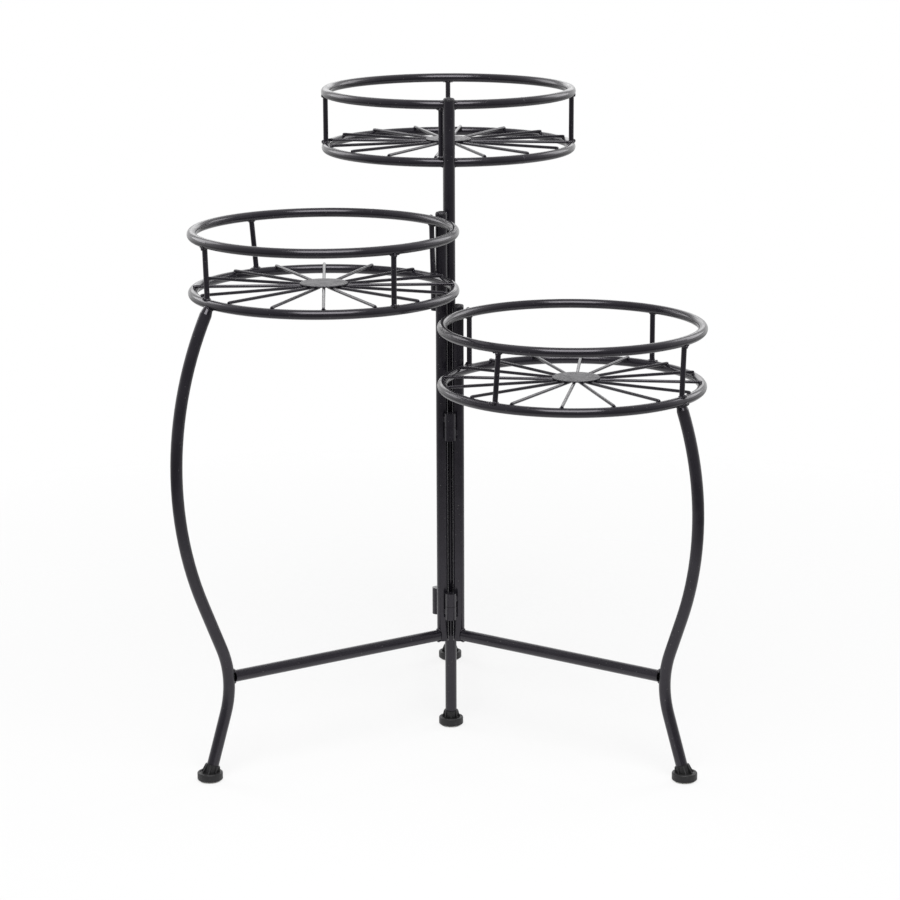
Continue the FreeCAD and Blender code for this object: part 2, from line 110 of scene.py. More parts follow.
class NodeBench:
    """A new material with short calls for the nodes that the finishes share."""

    speck_core: float = 0.6

    def __init__(self, name: str) -> None:
        """Open an empty principled material.

        Args:
            name: The material's name.
        """
        self.material = bpy.data.materials.new(name)
        self.material.use_nodes = True
        self.tree = self.material.node_tree
        self.shader = self.tree.nodes["Principled BSDF"]
        self.place = self.tree.nodes.new("ShaderNodeTexCoord").outputs["Object"]

    def set(self, **values: float | tuple[float, ...]) -> None:
        """Write constant values on the shader's own sockets, by socket name with underscores."""
        for name, value in values.items():
            self.shader.inputs[name.replace("_", " ")].default_value = value

    def grain(self, scale: float, detail: float = 2.0, rough: float = 0.5) -> bpy.types.NodeSocket:
        """Noise in the object's own place.

        Args:
            scale: Features for each metre.
            detail: Octaves of finer noise.
            rough: Share that each finer octave keeps.

        Returns:
            The socket with the noise, from 0 to 1.
        """
        node = self.tree.nodes.new("ShaderNodeTexNoise")
        node.inputs["Scale"].default_value = scale
        node.inputs["Detail"].default_value = detail
        node.inputs["Roughness"].default_value = rough
        self.tree.links.new(self.place, node.inputs["Vector"])
        return node.outputs["Fac"]

    def specks(self, scale: float, size: float) -> bpy.types.NodeSocket:
        """Sparse round specks, such as dust grains.

        Args:
            scale: Cells for each metre.
            size: Reach of a speck as a share of its cell.

        Returns:
            The socket that is 1 in a speck and 0 elsewhere.
        """
        cells = self.tree.nodes.new("ShaderNodeTexVoronoi")
        cells.inputs["Scale"].default_value = scale
        self.tree.links.new(self.place, cells.inputs["Vector"])
        return self.remap(cells.outputs["Distance"], (size, size * self.speck_core))

    def remap(self, source: bpy.types.NodeSocket, levels: Levels,
              results: Levels = (0.0, 1.0)) -> bpy.types.NodeSocket:
        """Clamp a value between two levels and stretch it to two others.

        Args:
            source: The value to change.
            levels: The two source levels.
            results: The result at each of them.

        Returns:
            The socket with the result.
        """
        node = self.tree.nodes.new("ShaderNodeMapRange")
        for name, value in zip(("From Min", "From Max", "To Min", "To Max"),
                               (*levels, *results)):
            node.inputs[name].default_value = value
        self.tree.links.new(source, node.inputs["Value"])
        return node.outputs["Result"]

    def mix(self, share: bpy.types.NodeSocket, first: Colour | bpy.types.NodeSocket,
            second: Colour) -> bpy.types.NodeSocket:
        """Mix two colours.

        Args:
            share: How much of the second colour shows.
            first: A colour, or the socket of an earlier mix.
            second: The other colour.

        Returns:
            The socket with the mixed colour.
        """
        node = self.tree.nodes.new("ShaderNodeMix")
        node.data_type = "RGBA"
        self.tree.links.new(share, node.inputs["Factor"])
        for name, colour in (("A", first), ("B", second)):
            socket = next(s for s in node.inputs if s.name == name and s.type == "RGBA")
            if isinstance(colour, tuple):
                socket.default_value = (*colour, 1.0)
            else:
                self.tree.links.new(colour, socket)
        return next(s for s in node.outputs if s.type == "RGBA")

    def relief(self, *layers: tuple[bpy.types.NodeSocket, float]) -> None:
        """Stack bump layers and join them to the shader.

        Args:
            layers: Height sockets, each with its depth in millimetres.
        """
        before = None
        for height, depth in layers:
            bump = self.tree.nodes.new("ShaderNodeBump")
            bump.inputs["Strength"].default_value = 1.0
            bump.inputs["Distance"].default_value = depth * MM
            self.tree.links.new(height, bump.inputs["Height"])
            if before is not None:
                self.tree.links.new(before, bump.inputs["Normal"])
            before = bump.outputs["Normal"]
        self.tree.links.new(before, self.shader.inputs["Normal"])

    def join(self, source: bpy.types.NodeSocket, socket: str) -> None:
        """Link a varying value or colour to one of the shader's sockets."""
        self.tree.links.new(source, self.shader.inputs[socket])


@dataclass(frozen=True)
class PowderCoat:
    """Black satin powder coat: slight orange peel, cloudy gloss and a few grains of dust."""

    name: str = "black_powder_coat"
    body: Colour = (0.0094, 0.0083, 0.0120)
    thin: Colour = (0.0140, 0.0127, 0.0172)
    tint: Colour = (0.97, 0.93, 1.0)
    dust: Colour = (0.15, 0.145, 0.14)
    cloud_scale: float = 38.0
    cloud_levels: Levels = (0.42, 0.68)
    gloss: Levels = (0.15, 0.23)
    gloss_scale: float = 120.0
    specular: float = 0.5
    sheen: float = 0.04
    sheen_roughness: float = 0.35
    peel_scale: float = 650.0
    peel_depth: float = 0.010
    pore_scale: float = 3200.0
    pore_depth: float = 0.0022
    sag_scale: float = 60.0
    sag_depth: float = 0.05
    dust_scale: float = 210.0
    dust_size: float = 0.085

    def make(self) -> bpy.types.Material:
        """Build the material.

        Returns:
            The finished material.
        """
        bench = NodeBench(self.name)
        bench.set(Specular_IOR_Level=self.specular, Sheen_Weight=self.sheen,
                  Sheen_Roughness=self.sheen_roughness, Specular_Tint=(*self.tint, 1.0))
        clouds = bench.remap(bench.grain(self.cloud_scale, detail=3.0), self.cloud_levels)
        grains = bench.specks(self.dust_scale, self.dust_size)
        coat = bench.mix(clouds, self.body, self.thin)
        bench.join(bench.mix(grains, coat, self.dust), "Base Color")
        patches = bench.grain(self.gloss_scale, detail=4.0, rough=0.6)
        bench.join(bench.remap(patches, NOISE_LEVELS, self.gloss), "Roughness")
        bench.relief((bench.grain(self.sag_scale, detail=1.0), self.sag_depth),
                     (bench.grain(self.peel_scale), self.peel_depth),
                     (bench.grain(self.pore_scale, detail=1.0), self.pore_depth))
        return bench.material


@dataclass(frozen=True)
class MouldedPlastic:
    """Black injection-moulded plastic with a fine spark-eroded texture and scuffs."""

    name: str = "black_moulded_plastic"
    body: Colour = (0.0115, 0.0112, 0.0122)
    scuffed: Colour = (0.034, 0.033, 0.034)
    scuff_scale: float = 340.0
    scuff_levels: Levels = (0.56, 0.74)
    gloss: Levels = (0.40, 0.58)
    gloss_scale: float = 260.0
    specular: float = 0.4
    texture_scale: float = 2400.0
    texture_depth: float = 0.015

    def make(self) -> bpy.types.Material:
        """Build the material.

        Returns:
            The finished material.
        """
        bench = NodeBench(self.name)
        bench.set(Specular_IOR_Level=self.specular)
        marks = bench.grain(self.scuff_scale, detail=5.0, rough=0.7)
        scuffs = bench.remap(marks, self.scuff_levels)
        bench.join(bench.mix(scuffs, self.body, self.scuffed), "Base Color")
        patches = bench.grain(self.gloss_scale, detail=3.0)
        bench.join(bench.remap(patches, NOISE_LEVELS, self.gloss), "Roughness")
        bench.relief((bench.grain(self.texture_scale), self.texture_depth))
        return bench.material


@dataclass(frozen=True)
class NylonGlide:
    """Off-white nylon, faintly clouded, dulled where it slides."""

    name: str = "white_nylon"
    body: Colour = (0.72, 0.71, 0.67)
    dulled: Colour = (0.50, 0.49, 0.46)
    wear_scale: float = 420.0
    wear_levels: Levels = (0.45, 0.75)
    gloss: Levels = (0.38, 0.62)
    clouding: float = 0.08
    texture_scale: float = 1500.0
    texture_depth: float = 0.012

    def make(self) -> bpy.types.Material:
        """Build the material.

        Returns:
            The finished material.
        """
        bench = NodeBench(self.name)
        bench.set(Subsurface_Weight=self.clouding)
        rubbed = bench.grain(self.wear_scale, detail=5.0, rough=0.65)
        wear = bench.remap(rubbed, self.wear_levels)
        bench.join(bench.mix(wear, self.body, self.dulled), "Base Color")
        bench.join(bench.remap(wear, (0.0, 1.0), self.gloss), "Roughness")
        bench.relief((bench.grain(self.texture_scale, detail=3.0), self.texture_depth))
        return bench.material


@dataclass(frozen=True)
class ZincedSteel:
    """Zinc-plated steel with turning marks around the pin and grease in the low spots."""

    name: str = "zinced_pin_steel"
    body: Colour = (0.52, 0.53, 0.55)
    greased: Colour = (0.16, 0.15, 0.13)
    grease_scale: float = 300.0
    grease_levels: Levels = (0.50, 0.70)
    gloss: Levels = (0.24, 0.55)
    mark_scale: float = 1100.0
    mark_wobble: float = 1.5
    mark_depth: float = 0.008

    def make(self) -> bpy.types.Material:
        """Build the material.

        Returns:
            The finished material.
        """
        bench = NodeBench(self.name)
        bench.set(Metallic=1.0)
        smears = bench.grain(self.grease_scale, detail=4.0, rough=0.6)
        grease = bench.remap(smears, self.grease_levels)
        bench.join(bench.mix(grease, self.body, self.greased), "Base Color")
        bench.join(bench.remap(grease, (0.0, 1.0), self.gloss), "Roughness")
        marks = bench.tree.nodes.new("ShaderNodeTexWave")
        marks.bands_direction = "Z"
        marks.inputs["Scale"].default_value = self.mark_scale
        marks.inputs["Distortion"].default_value = self.mark_wobble
        bench.tree.links.new(bench.place, marks.inputs["Vector"])
        bench.relief((marks.outputs["Fac"], self.mark_depth))
        return bench.material


@dataclass(frozen=True)
class CoatedWeld(PowderCoat):
    """The same powder coat over a weld bead: duller, with spatter under it."""

    name: str = "powder_coat_on_weld"
    gloss: Levels = (0.26, 0.44)
    sag_scale: float = 700.0
    sag_depth: float = 0.16
    peel_depth: float = 0.035


@dataclass(frozen=True)
class CoatedPlate(PowderCoat):
    """The same powder coat on the flat of a disc: duller, with a coarser peel."""

    name: str = "powder_coat_on_plate"
    gloss: Levels = (0.34, 0.46)
    peel_scale: float = 900.0
    peel_depth: float = 0.03


# ---------------------------------------------------------------- meshes


def shares(count: int) -> Iterator[float]:
    """Even steps from 0 to 1, with both ends."""
    return (n / (count - 1) for n in range(count))


@dataclass
class Stock:
    """Corners and faces gathered for one mesh.

    A weld bead swells with each drop and with slower lumps, and thins out towards its ends.
    """

    bead_sides: ClassVar[int] = 10
    drop_swell: ClassVar[float] = 0.13
    drop_pitch: ClassVar[float] = 1.25
    lump_swell: ClassVar[float] = 0.30
    lump_scale: ClassVar[float] = 450.0
    end_floor: ClassVar[float] = 0.12
    end_roundness: ClassVar[float] = 0.45

    corners: list[Vector] = field(default_factory=list)
    faces: list[tuple[int, ...]] = field(default_factory=list)

    def sweep(self, path: Sequence[Vector], radii: Sequence[float], sides: int,
              closed: bool = False) -> None:
        """Add a round bar along a path.

        Args:
            path: Points of the centreline.
            radii: The bar's radius at each point.
            sides: Corners around the bar.
            closed: Whether the last point joins the first.
        """
        count = len(path)
        start = len(self.corners)
        normal: Vector | None = None
        for n, point in enumerate(path):
            before = path[n - 1] if n or closed else point
            after = path[(n + 1) % count] if n < count - 1 or closed else point
            along = (after - before).normalized()
            normal = along.orthogonal() if normal is None else normal - along * normal.dot(along)
            normal.normalize()
            across = along.cross(normal)
            for k in range(sides):
                turn = 2 * math.pi * k / sides
                reach = normal * math.cos(turn) + across * math.sin(turn)
                self.corners.append(point + reach * radii[n])
        for n in range(count if closed else count - 1):
            here, there = start + n * sides, start + (n + 1) % count * sides
            for k in range(sides):
                side = (k + 1) % sides
                self.faces.append((here + k, here + side, there + side, there + k))
        if not closed:
            last = start + (count - 1) * sides
            self.faces.append(tuple(range(start + sides - 1, start - 1, -1)))
            self.faces.append(tuple(range(last, last + sides)))

    def bead(self, path: Sequence[Vector], radius: float, closed: bool = False) -> None:
        """Add a weld bead: overlapping drops, thinner towards its ends.

        Args:
            path: Points along the root of the bead.
            radius: Its usual radius.
            closed: Whether it runs all the way round.
        """
        travelled = 0.0
        radii = []
        for n, (point, share) in enumerate(zip(path, shares(len(path)))):
            travelled += (point - path[n - 1]).length if n else 0.0
            phase = 2 * math.pi * travelled / (self.drop_pitch * radius)
            drops = self.drop_swell * math.sin(phase)
            lumps = self.lump_swell * noise.noise(point * self.lump_scale)
            end = max(self.end_floor, math.sin(math.pi * share))
            taper = 1.0 if closed else end ** self.end_roundness
            radii.append(radius * taper * (1.0 + drops + lumps))
        self.sweep(path, radii, self.bead_sides, closed)

    def build(self, name: str, material: bpy.types.Material, body: str,
              slot: Slot) -> bpy.types.Object:
        """Make the piece, dress it and let it ride.

        Args:
            name: The piece's name.
            material: Its finish.
            body: The body that it moves with.
            slot: The record's slot of its finish; not used.

        Returns:
            The new object.
        """
        mesh = bpy.data.meshes.new(name)
        mesh.from_pydata([tuple(corner) for corner in self.corners], [], self.faces)
        mesh.validate()
        mesh.polygons.foreach_set("use_smooth", [len(face) == 4 for face in self.faces])
        mesh.materials.append(material)
        piece = bpy.data.objects.new(name, mesh)
        bpy.context.scene.collection.objects.link(piece)
        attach(piece, body)
        LOG.info("%s: %d faces on %s", name, len(self.faces), body)
        return piece


def circle(centre: Vector, axis: Vector, radius: float, count: int, first: float = 0.0,
           last: float = 360.0, start: Vector | None = None) -> list[Vector]:
    """Points on a circle or an arc.

    Args:
        centre: Its centre.
        axis: The direction that it runs around.
        radius: Its radius.
        count: How many points.
        first: Angle of the first point in degrees, from start.
        last: Angle where it ends. A whole turn leaves out the point that would repeat.
        start: Direction of angle 0, square to the axis.

    Returns:
        The points in order.
    """
    along = axis.normalized()
    zero = (start or along.orthogonal()).normalized()
    side = along.cross(zero)
    steps = count if last - first >= 360.0 else count - 1
    turns = [math.radians(first + (last - first) * n / steps) for n in range(count)]
    return [centre + (zero * math.cos(turn) + side * math.sin(turn)) * radius for turn in turns]


# ---------------------------------------------------------------- one section


@dataclass
class Basket:
    """Where one section's rings and post are, read from the frame, with the tube sizes."""

    section: Section
    upright_skews: tuple[float, float, float, float]
    upright_leans: tuple[float, float, float, float]
    spoke_skew: float
    ring_radius: float = 130.0 * MM
    tube_radius: float = 4.75 * MM
    post_radius: float = 6.0 * MM

    def __post_init__(self) -> None:
        """Read the post's axis, the rings' centres and the middle of the disc."""
        name = self.section.value
        low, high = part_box(f"{name}_post")
        self.post = (low + high) / 2
        low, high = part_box(f"{name}_upper_ring")
        self.upper = (low + high) / 2
        low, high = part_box(f"{name}_lower_ring")
        self.lower = (low + high) / 2
        reach = self.lower - self.post
        self.outward = Vector((reach.x, reach.y, 0.0)).normalized()
        low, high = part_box(f"{name}_centre_disc")
        self.hub = Vector(((low.x + high.x) / 2, (low.y + high.y) / 2, 0.0))
        self.sideways = UP.cross(self.outward)

    def heading(self, turn: float) -> Vector:
        """The level direction at an angle in degrees from the way to the leg."""
        angle = math.radians(turn)
        return self.outward * math.cos(angle) + self.sideways * math.sin(angle)

    def uprights(self) -> list[tuple[float, float]]:
        """Turn around the basket and lean along the ring of the four uprights."""
        turns = [90.0 * n + skew for n, skew in enumerate(self.upright_skews)]
        return list(zip(turns, self.upright_leans))

    def spoke_headings(self, count: int) -> list[Vector]:
        """Level directions from the basket's centre to the outer ends of the spokes."""
        pitch = 360.0 / count
        return [self.heading(pitch * (n + 0.5) + self.spoke_skew) for n in range(count)]

    def on_ring(self, point: Vector, centre: Vector, proud: float = 0.0) -> Vector:
        """The nearest point on a ring's skin.

        Args:
            point: Any point near the ring.
            centre: The ring's centre.
            proud: How far outside the skin.

        Returns:
            The moved point.
        """
        flat = point - centre
        flat.z = 0.0
        core = centre + flat.normalized() * self.ring_radius
        return core + (point - core).normalized() * (self.tube_radius + proud)


@dataclass
class RingWelds:
    """Beads where the rings meet the post and around its top, and the rings' closing seams."""

    basket: Basket
    bead: float = 1.7 * MM
    bead_rise: float = 3.6 * MM
    bead_sunk: float = 0.4
    bead_points: int = 15
    crevice: float = 3.9 * MM
    crevice_closing: float = 0.35
    ramp: float = 1.9 * MM
    ramp_start: float = 3.2 * MM
    ramp_reach: float = 9.5 * MM
    ramp_out: float = 1.6 * MM
    ramp_fall: float = 0.35
    ramp_sunk: float = 0.9 * MM
    ramp_first_sunk: float = 0.4
    ramp_points: int = 13
    crown_radius: float = 4.3 * MM
    crown_bead: float = 1.45 * MM
    crown_rise: float = 1.1 * MM
    crown_points: int = 40
    seam_radius: float = 0.45 * MM
    seam_proud: float = 0.12 * MM
    seam_turn: float = 215.0
    seam_points: int = 48
    seam_sides: int = 8

    def path_beside_post(self, centre: Vector, side: float) -> list[Vector]:
        """The root of one bead in the crevice between ring and post.

        Args:
            centre: The ring's centre.
            side: 1 or -1, for the two sides of the post.

        Returns:
            Points from below to above.
        """
        basket = self.basket
        contact = basket.post + basket.outward * basket.post_radius
        points = []
        for share in shares(self.bead_points):
            rise = (2 * share - 1) * self.bead_rise
            closing = self.crevice_closing * (rise / self.bead_rise) ** 2
            point = contact + basket.sideways * (side * (self.crevice * (1 - closing)))
            point.z = centre.z + rise
            points.append(basket.on_ring(point, centre, -self.bead_sunk * self.bead))
        return points

    def ramp_beside_post(self, centre: Vector, side: float, rise: float) -> list[Vector]:
        """A run-out of weld along a ring, away from the post.

        Args:
            centre: The ring's centre.
            side: 1 or -1, for the two sides of the post.
            rise: 1 on top of the ring and -1 under it.

        Returns:
            Points from the post outwards on the ring's skin.
        """
        basket = self.basket
        start = basket.post + basket.outward * (basket.post_radius + self.ramp_out)
        points = []
        for share in shares(self.ramp_points):
            spread = self.ramp_start + (self.ramp_reach - self.ramp_start) * share
            point = start + basket.sideways * (side * spread)
            point.z = centre.z + rise * basket.tube_radius * (1.0 - self.ramp_fall * share)
            sunk = self.ramp_sunk * (self.ramp_first_sunk + share)
            points.append(basket.on_ring(point, centre, -sunk))
        return points

    def seam(self, centre: Vector) -> list[Vector]:
        """The closed line of the butt weld around a ring's tube, just under its skin."""
        basket = self.basket
        heading = basket.heading(self.seam_turn)
        core = centre + heading * basket.ring_radius
        return circle(core, UP.cross(heading), basket.tube_radius - self.seam_radius,
                      self.seam_points, start=UP)

    def build(self, finish: bpy.types.Material) -> None:
        """Make both rings' post beads and seams, and the bead around the post's top.

        Args:
            finish: The finish over the welds.
        """
        basket = self.basket
        stock = Stock()
        for centre in (basket.upper, basket.lower):
            for side in (-1.0, 1.0):
                stock.bead(self.path_beside_post(centre, side), self.bead)
                for rise in (-1.0, 1.0):
                    stock.bead(self.ramp_beside_post(centre, side, rise), self.ramp)
            radii = [self.seam_radius + self.seam_proud] * self.seam_points
            stock.sweep(self.seam(centre), radii, self.seam_sides, closed=True)
        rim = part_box(f"{basket.section.value}_post")[1].z
        crown = Vector((basket.post.x, basket.post.y, rim + self.crown_rise))
        stock.bead(circle(crown, UP, self.crown_radius, self.crown_points), self.crown_bead,
                   closed=True)
        stock.build(f"{basket.section.value}_ring_welds", finish, basket.section.body, Slot.STEEL)


@dataclass
class UprightWelds:
    """A collar and three dabs of weld at both ends of every upright wire."""

    basket: Basket
    wire_radius: float = 2.65 * MM
    outset: float = 0.3 * MM
    bead: float = 0.95 * MM
    bead_proud: float = 0.1 * MM
    bead_points: int = 26
    chance_scale: float = 90.0
    side_start: float = 0.7
    side_reach: float = 4.2 * MM
    side_reach_chance: float = 0.5
    side_radius: float = 1.7 * MM
    side_radius_chance: float = 0.25
    side_out: float = 1.6 * MM
    side_back: float = 0.3 * MM
    side_sunk: float = 0.55 * MM
    side_points: int = 9
    bulb_radius: float = 2.1 * MM
    bulb_out: float = 2.2 * MM
    bulb_spread: float = 1.3 * MM
    bulb_aside: float = 1.2 * MM
    bulb_rise: float = 2.3 * MM
    bulb_fall: float = 4.0 * MM
    bulb_free_share: float = 0.4
    bulb_sunk: float = 0.35 * MM
    bulb_points: int = 7

    def collar(self, centre: Vector, heading: Vector, rise: float, lean: float) -> list[Vector]:
        """The closed line where a wire meets a ring.

        Args:
            centre: The ring's centre.
            heading: The level direction of the wire from the basket's centre.
            rise: 1 where the wire leaves upwards and -1 where it leaves downwards.
            lean: The wire's lean along the ring, in degrees.

        Returns:
            Points around the wire on the ring's skin.
        """
        basket = self.basket
        slope = math.tan(math.radians(lean))
        along = UP.cross(heading)
        axis = (UP * rise + along * (rise * slope)).normalized()
        half_height = (basket.upper.z - basket.lower.z) / 2 - basket.tube_radius
        root = centre + heading * (basket.ring_radius + self.outset)
        root = root + UP * (rise * basket.tube_radius) - along * (rise * slope * half_height)
        ring = circle(root, axis, self.wire_radius, self.bead_points, start=heading.cross(UP))
        return [basket.on_ring(point, centre, self.bead_proud) for point in ring]

    def dabs(self, centre: Vector, heading: Vector, rise: float,
             foot: Vector) -> list[tuple[list[Vector], float]]:
        """Dabs of weld around one joint: two beside the wire's end and one over it.

        Args:
            centre: The ring's centre.
            heading: The level direction of the wire from the basket's centre.
            rise: 1 where the wire leaves upwards and -1 where it leaves downwards.
            foot: The middle of the joint's collar.

        Returns:
            The path and the radius of each dab.
        """
        on_ring = self.basket.on_ring
        along = UP.cross(heading)
        chance = noise.noise(foot * self.chance_scale)
        spread = self.side_reach * (1.0 + self.side_reach_chance * chance)
        made = []
        for side in (-1.0, 1.0):
            path = []
            for share in shares(self.side_points):
                aside = side * (self.wire_radius * self.side_start + spread * share)
                point = foot + along * aside + heading * self.side_out
                point = point - UP * (rise * self.side_back)
                path.append(on_ring(point, centre, -self.side_sunk))
            radius = self.side_radius * (1.0 - self.side_radius_chance * side * chance)
            made.append((path, radius))
        over = []
        for share in shares(self.bulb_points):
            point = foot + heading * (self.bulb_out + self.bulb_spread * share)
            point = point + along * (self.bulb_aside * chance)
            point = point + UP * (rise * (self.bulb_rise - self.bulb_fall * share))
            free = share < self.bulb_free_share
            over.append(point if free else on_ring(point, centre, -self.bulb_sunk))
        made.append((over, self.bulb_radius))
        return made

    def build(self, finish: bpy.types.Material) -> None:
        """Make the weld at all eight ends of the basket's uprights.

        Args:
            finish: The finish over the welds.
        """
        basket = self.basket
        stock = Stock()
        for turn, lean in basket.uprights():
            heading = basket.heading(turn)
            for centre, rise in ((basket.upper, -1.0), (basket.lower, 1.0)):
                collar = self.collar(centre, heading, rise, lean)
                stock.bead(collar, self.bead, closed=True)
                foot = sum(collar, Vector()) / len(collar)
                for path, radius in self.dabs(centre, heading, rise, foot):
                    stock.bead(path, radius)
        stock.build(f"{basket.section.value}_upright_welds", finish, basket.section.body,
                    Slot.STEEL)


@dataclass
class Spokes:
    """Spoke wires with their outer ends pressed down on the lower ring.

    A spoke keeps its radius up to tip_shoulder of its pressed end and rounds off after that.
    """

    basket: Basket
    count: int = 16
    radius: float = 1.6 * MM
    sides: int = 20
    inner_reach: float = 12.0 * MM
    lift: float = 5.5 * MM
    runs: int = 18
    pressed: float = 3.5 * MM
    pressed_steps: int = 9
    tip_reach: float = 129.8 * MM
    tip_drop: float = 0.45 * MM
    tip_shoulder: float = 0.8
    tip_thinning: float = 0.35

    def line(self, heading: Vector) -> tuple[list[Vector], list[float]]:
        """Centreline and radii of one spoke.

        Args:
            heading: Level direction from the ring's middle to its outer end.

        Returns:
            The points from the inner end to the tip, and the radius at each.
        """
        hub = self.basket.hub + UP * (self.basket.lower.z + self.lift)
        tip = self.basket.lower + heading * self.tip_reach + UP * self.lift
        along = (tip - hub).normalized()
        length = (tip - hub).length
        straight = length - self.pressed - self.inner_reach
        points = [hub + along * (self.inner_reach + straight * n / self.runs)
                  for n in range(self.runs + 1)]
        radii = [self.radius] * len(points)
        for n in range(1, self.pressed_steps + 1):
            share = n / self.pressed_steps
            reach = length - self.pressed * (1.0 - share)
            points.append(hub + along * reach - UP * (self.tip_drop * share ** 2))
            rounding = max(0.0, share - self.tip_shoulder) / (1.0 - self.tip_shoulder)
            radii.append(self.radius * (1.0 - self.tip_thinning * rounding ** 2))
        return points, radii

    def build(self, finish: bpy.types.Material) -> None:
        """Make the spokes, in place of the frame's plain ones.

        Args:
            finish: The spokes' finish.
        """
        basket = self.basket
        name = basket.section.value
        stock = Stock()
        for heading in basket.spoke_headings(self.count):
            stock.sweep(*self.line(heading), self.sides)
        piece = stock.build(f"{name}_spokes", finish, basket.section.body, Slot.STEEL)
        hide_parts(f"{name}_spoke_wires")


@dataclass
class SpokeWelds:
    """A short bead of weld on both sides of every spoke's outer end."""

    basket: Basket
    count: int = 16
    reach: float = 127.6 * MM
    length: float = 4.2 * MM
    spread: float = 1.7 * MM
    bead: float = 0.85 * MM
    sunk: float = 0.2 * MM
    points: int = 9

    def build(self, finish: bpy.types.Material) -> None:
        """Make both beads of each spoke.

        Args:
            finish: The finish over the welds.
        """
        basket = self.basket
        stock = Stock()
        for heading in basket.spoke_headings(self.count):
            across = UP.cross(heading)
            for side in (-1.0, 1.0):
                path = []
                for share in shares(self.points):
                    reach = self.reach + (share - 0.5) * self.length
                    point = basket.lower + heading * reach + across * (side * self.spread)
                    point = point + UP * basket.tube_radius
                    path.append(basket.on_ring(point, basket.lower, -self.sunk))
                stock.bead(path, self.bead)
        stock.build(f"{basket.section.value}_spoke_welds", finish, basket.section.body,
                    Slot.STEEL)


@dataclass
class LegWelds:
    """Beads at the leg's top, and at both ends of the brace."""

    basket: Basket
    leg_reach: float
    top_radius: float = 4.5 * MM
    top_drop: float = 3.3 * MM
    top_inset: float = 3.0 * MM
    top_bead: float = 1.25 * MM
    top_proud: float = 0.2 * MM
    top_points: int = 30
    brace_radius: float = 6.0 * MM
    brace_bead: float = 1.35 * MM
    brace_proud: float = 0.2 * MM
    brace_half_arc: float = 38.0
    brace_points: int = 17

    def saddle(self, axis: Vector, root: Vector, inward: Vector, first: float,
               last: float) -> list[Vector]:
        """The line where the level brace meets an upright tube.

        Args:
            axis: A point on the upright tube's axis.
            root: The centre of the brace's end.
            inward: Level direction from that tube's axis into the brace.
            first: First angle around the brace, in degrees from its top.
            last: Last angle.

        Returns:
            Points across the top or the underside of the brace.
        """
        across = UP.cross(inward)
        points = []
        for point in circle(root, inward, self.brace_radius + self.brace_proud,
                            self.brace_points, first, last, start=UP):
            spread = (point - axis).dot(across)
            depth = math.sqrt(max(0.0, self.basket.post_radius ** 2 - spread ** 2))
            level = Vector((axis.x, axis.y, point.z)) + across * spread
            points.append(level + inward * depth)
        return points

    def build(self, finish: bpy.types.Material) -> None:
        """Make the beads of one leg and brace.

        Args:
            finish: The finish over the welds.
        """
        basket = self.basket
        name = basket.section.value
        stock = Stock()
        reach = basket.ring_radius + basket.tube_radius - self.top_inset
        top = basket.lower + basket.outward * reach - UP * self.top_drop
        ring = circle(top, UP, self.top_radius, self.top_points, start=basket.outward)
        stock.bead([basket.on_ring(point, basket.lower, self.top_proud) for point in ring],
                   self.top_bead, closed=True)
        low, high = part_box(f"{name}_brace")
        height = (low.z + high.z) / 2
        leg = Vector((basket.post.x, basket.post.y, 0.0)) + basket.outward * self.leg_reach
        for axis, inward in ((basket.post, basket.outward), (leg, -basket.outward)):
            start = Vector((axis.x, axis.y, height))
            root = start + inward * basket.post_radius
            for middle in (0.0, 180.0):
                arc = self.saddle(start, root, inward, middle - self.brace_half_arc,
                                  middle + self.brace_half_arc)
                stock.bead(arc, self.brace_bead)
        stock.build(f"{name}_leg_welds", finish, basket.section.body, Slot.STEEL)


# ---------------------------------------------------------------- hinges


@dataclass
class HingeWelds:
    """Beads down both edges of a hinge half's web, where it is welded to its post."""

    node: str
    basket: Basket
    web_half_width: float = 2.5 * MM
    web_half_height: float = 2.8 * MM
    bead: float = 0.8 * MM
    bead_aside: float = 0.1 * MM
    bead_points: int = 13

    def build(self, finish: bpy.types.Material) -> None:
        """Make the two beads of one hinge half.

        Args:
            finish: The finish over the welds.
        """
        low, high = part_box(self.node)
        middle = (low.z + high.z) / 2
        pin_low, pin_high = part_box(self.node.rsplit("_", 2)[0] + "_pin")
        pin = (pin_low + pin_high) / 2
        post = self.basket.post
        towards = Vector((pin.x - post.x, pin.y - post.y, 0.0)).normalized()
        side = UP.cross(towards)
        stock = Stock()
        for edge in (-1.0, 1.0):
            spread = edge * (self.web_half_width + self.bead_aside)
            depth = math.sqrt(self.basket.post_radius ** 2 - spread ** 2)
            foot = Vector((post.x, post.y, middle)) + towards * depth + side * spread
            rises = [self.web_half_height * (2 * share - 1) for share in shares(self.bead_points)]
            stock.bead([foot + UP * rise for rise in rises], self.bead)
        stock.build(f"{self.node}_welds", finish, self.basket.section.body, Slot.STEEL)


# ---------------------------------------------------------------- studio


@dataclass(frozen=True)
class SoftLamp:
    """A rectangular soft lamp that the camera doesn't see."""

    name: str
    place: tuple[float, float, float]
    size: tuple[float, float]
    power: float

    def build(self, aim: Vector) -> None:
        """Hang the lamp.

        Args:
            aim: The point that it faces.
        """
        data = bpy.data.lights.new(self.name, "AREA")
        data.shape = "RECTANGLE"
        data.size, data.size_y = self.size
        data.energy = self.power
        light = bpy.data.objects.new(self.name, data)
        light.location = self.place
        light.visible_camera = False
        way = aim - Vector(self.place)
        light.rotation_euler = way.to_track_quat("-Z", "Y").to_euler()
        bpy.context.scene.collection.objects.link(light)


